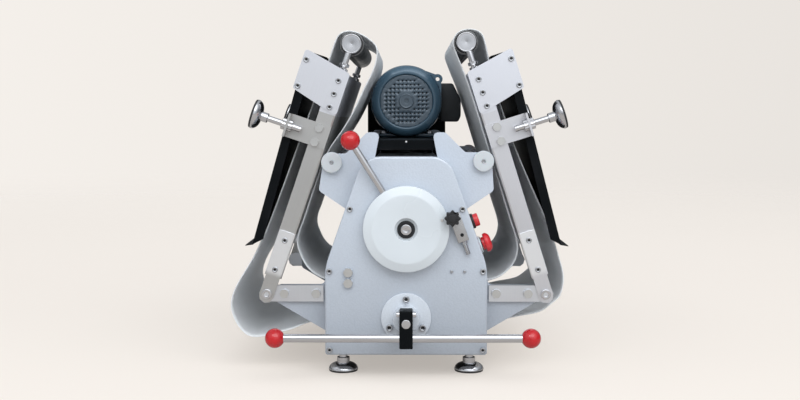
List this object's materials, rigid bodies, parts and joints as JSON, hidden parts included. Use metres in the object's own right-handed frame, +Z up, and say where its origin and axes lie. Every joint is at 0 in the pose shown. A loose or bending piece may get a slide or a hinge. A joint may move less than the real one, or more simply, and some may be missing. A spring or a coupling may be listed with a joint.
{
  "type": "dough sheeter",
  "caption": "Motor-driven tabletop dough sheeter with rollers between side plates, a thickness dial, a reversing lever and a belt conveyor folded up on each side.",
  "frame": {"origin": "on the worktop, at the middle of the bounding box's base", "axes": "+Z up, -Y towards the operator's side with the dial, +X to the side with the push buttons"},
  "size_m": [0.6614, 0.7884, 0.6708],
  "materials": {
    "black_paint": "glossy black paint",
    "black_plastic": "black moulded plastic",
    "brushed_stainless": "brushed stainless steel",
    "button_red": "red translucent button plastic",
    "dark_sheet_steel": "dark grey sheet steel",
    "hammered_grey_paint": "fine hammered light grey-blue paint",
    "motor_blue_enamel": "slate-blue enamel on cast aluminium",
    "polished_steel": "polished and plated steel",
    "red_phenolic": "polished red phenolic",
    "white_belt": "white coated conveyor fabric",
    "white_enamel": "smooth white enamel",
    "white_nylon": "white nylon, slightly glossy"
  },
  "bodies": {
    "frame": {"base_pan": "dark_sheet_steel", "belt_left": "white_belt", "belt_right": "white_belt", "front_cover": "hammered_grey_paint", "gap_stop": "brushed_stainless", "guard_left": "brushed_stainless", "guard_right": "brushed_stainless", "lever_flange": "hammered_grey_paint", "motor_bridge": "black_paint", "motor_fan_cover": "motor_blue_enamel", "motor_stator": "motor_blue_enamel", "motor_terminal_box": "black_plastic", "pivot_bar_left_front": "brushed_stainless", "pivot_bar_left_rear": "brushed_stainless", "pivot_bar_right_front": "brushed_stainless", "pivot_bar_right_rear": "brushed_stainless", "pulley_cover": "black_paint", "rear_cover": "hammered_grey_paint", "rest_roller_left": "white_nylon", "rest_roller_right": "white_nylon", "side_plate_front": "hammered_grey_paint", "side_plate_rear": "hammered_grey_paint", "start_bezel": "black_plastic", "stop_bezel": "black_plastic", "table_foot_left_front": "polished_steel", "table_foot_left_rear": "polished_steel", "table_foot_right_front": "polished_steel", "table_foot_right_rear": "polished_steel"},
    "conveyor_left": {"bed_left": "brushed_stainless", "tray_left": "black_paint", "tensioner_left_front": "polished_steel", "tensioner_left_rear": "polished_steel"},
    "conveyor_right": {"bed_right": "brushed_stainless", "tray_right": "black_paint", "tensioner_right_front": "polished_steel", "tensioner_right_rear": "polished_steel"},
    "dial": {"dial_disc": "white_enamel", "dial_rod": "brushed_stainless", "dial_ball": "red_phenolic", "dial_shaft": "dark_sheet_steel"},
    "lever": {"lever_block": "black_paint", "lever_rod": "polished_steel", "lever_ball_left": "red_phenolic", "lever_ball_right": "red_phenolic"},
    "carriage": {"roller_carriage": "brushed_stainless"},
    "motor_rotor": {"motor_rotor": "black_plastic"},
    "star_knob": {"star_knob": "black_plastic"},
    "upper_roller": {"upper_roller": "polished_steel"},
    "lower_roller": {"lower_roller": "polished_steel"},
    "drive_roller_left": {"drive_roller_left": "brushed_stainless"},
    "drive_roller_right": {"drive_roller_right": "brushed_stainless"},
    "end_roller_left": {"end_roller_left": "brushed_stainless"},
    "end_roller_right": {"end_roller_right": "brushed_stainless"},
    "start_button": {"start_button": "button_red"},
    "stop_button": {"stop_button": "button_red"},
    "support_foot_left_front": {"support_foot_left_front": "polished_steel"},
    "support_foot_left_rear": {"support_foot_left_rear": "polished_steel"},
    "support_foot_right_front": {"support_foot_right_front": "polished_steel"},
    "support_foot_right_rear": {"support_foot_right_rear": "polished_steel"}
  },
  "joints": [
    {"name": "fold_left", "type": "hinge", "parent": "frame", "child": "conveyor_left", "pos_m": [-0.2555, 0, 0.157], "axis": [0, -1, 0], "range_deg": [0, 108.8], "deforming": ["belt_left"]},
    {"name": "end_roller_left_spin", "type": "hinge", "parent": "conveyor_left", "child": "end_roller_left", "pos_m": [-0.09082, 0, 0.64074], "axis": [0, 1, 0], "continuous": true},
    {"name": "support_foot_left_front_slide", "type": "slide", "parent": "conveyor_left", "child": "support_foot_left_front", "axis": [-0.9466, 0, 0.3223], "range_m": [0, 0.0227]},
    {"name": "support_foot_left_rear_slide", "type": "slide", "parent": "conveyor_left", "child": "support_foot_left_rear", "axis": [-0.9466, 0, 0.3223], "range_m": [0, 0.0227]},
    {"name": "fold_right", "type": "hinge", "parent": "frame", "child": "conveyor_right", "pos_m": [0.2855, 0, 0.157], "axis": [0, 1, 0], "range_deg": [0, 107.6], "deforming": ["belt_right"]},
    {"name": "end_roller_right_spin", "type": "hinge", "parent": "conveyor_right", "child": "end_roller_right", "pos_m": [0.13099, 0, 0.64408], "axis": [0, 1, 0], "continuous": true},
    {"name": "support_foot_right_front_slide", "type": "slide", "parent": "conveyor_right", "child": "support_foot_right_front", "axis": [0.9532, 0, 0.3024], "range_m": [0, 0.0227]},
    {"name": "support_foot_right_rear_slide", "type": "slide", "parent": "conveyor_right", "child": "support_foot_right_rear", "axis": [0.9532, 0, 0.3024], "range_m": [0, 0.0227]},
    {"name": "lower_roller_spin", "type": "hinge", "parent": "frame", "child": "lower_roller", "pos_m": [0.015, 0, 0.128], "axis": [0, 1, 0], "continuous": true},
    {"name": "drive_roller_left_spin", "type": "hinge", "parent": "frame", "child": "drive_roller_left", "pos_m": [-0.073, 0, 0.147], "axis": [0, 1, 0], "continuous": true},
    {"name": "drive_roller_right_spin", "type": "hinge", "parent": "frame", "child": "drive_roller_right", "pos_m": [0.103, 0, 0.147], "axis": [0, 1, 0], "continuous": true},
    {"name": "dial_turn", "type": "hinge", "parent": "frame", "child": "dial", "pos_m": [0.015, -0.3183, 0.2876], "axis": [0, -1, 0], "range_deg": [-79.95, 84.71]},
    {"name": "roller_lift", "type": "slide", "parent": "frame", "child": "carriage", "axis": [0, 0, 1], "range_m": [-0.0178, 0.0168]},
    {"name": "upper_roller_spin", "type": "hinge", "parent": "carriage", "child": "upper_roller", "pos_m": [0.015, 0, 0.2343], "axis": [0, 1, 0], "continuous": true},
    {"name": "motor_spin", "type": "hinge", "parent": "frame", "child": "motor_rotor", "pos_m": [0.015, 0, 0.535], "axis": [0, 1, 0], "continuous": true},
    {"name": "lever_turn", "type": "hinge", "parent": "frame", "child": "lever", "pos_m": [0.015, -0.3509, 0.116], "axis": [0, -1, 0], "range_deg": [-10, 10]},
    {"name": "star_knob_turn", "type": "hinge", "parent": "frame", "child": "star_knob", "pos_m": [0.102, -0.3486, 0.31], "axis": [0, -1, 0], "range_deg": [-180, 180]},
    {"name": "start_press", "type": "slide", "parent": "frame", "child": "start_button", "axis": [-0.9439, 0, -0.3302], "range_m": [0, 0.004], "stiffness_N_per_m": 400},
    {"name": "stop_press", "type": "slide", "parent": "frame", "child": "stop_button", "axis": [-0.9439, 0, -0.3302], "range_m": [0, 0.005], "stiffness_N_per_m": 500}
  ],
  "couplings": [
    {"joint": "roller_lift", "follows": "dial_turn", "m_per_rad": -0.012032},
    {"joint": "upper_roller_spin", "follows": "lower_roller_spin", "ratio": -1},
    {"joint": "motor_spin", "follows": "lower_roller_spin", "ratio": 16},
    {"joint": "drive_roller_left_spin", "follows": "lower_roller_spin", "ratio": 1.76},
    {"joint": "end_roller_left_spin", "follows": "lower_roller_spin", "ratio": 1.76},
    {"joint": "drive_roller_right_spin", "follows": "lower_roller_spin", "ratio": 1.76},
    {"joint": "end_roller_right_spin", "follows": "lower_roller_spin", "ratio": 1.76}
  ]
}
